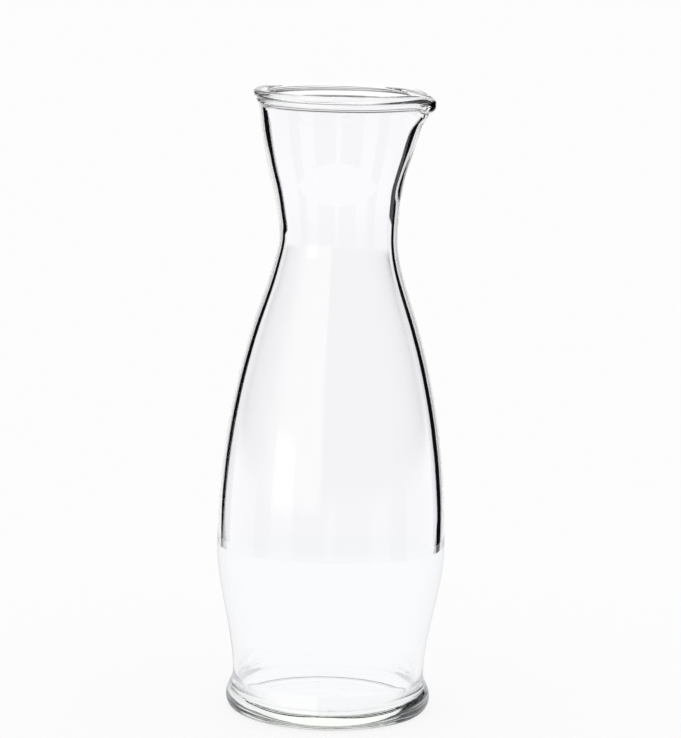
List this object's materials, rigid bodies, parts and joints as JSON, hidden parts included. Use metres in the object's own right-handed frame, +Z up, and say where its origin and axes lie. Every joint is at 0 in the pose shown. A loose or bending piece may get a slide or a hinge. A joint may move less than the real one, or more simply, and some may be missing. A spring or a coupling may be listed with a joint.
{
  "type": "water carafe",
  "caption": "Clear glass water carafe with a thick foot, full belly, narrow neck and a flared mouth drawn out into a pouring spout.",
  "frame": {"origin": "centre of the foot, at the height of the table that the carafe stands on", "axes": "+Z up along the carafe's axis, +X towards the pouring spout"},
  "size_m": [0.095, 0.095, 0.26],
  "materials": {
    "clear_glass": "fire-polished clear soda-lime glass"
  },
  "bodies": {
    "root": {"glass_carafe": "clear_glass"}
  },
  "joints": []
}
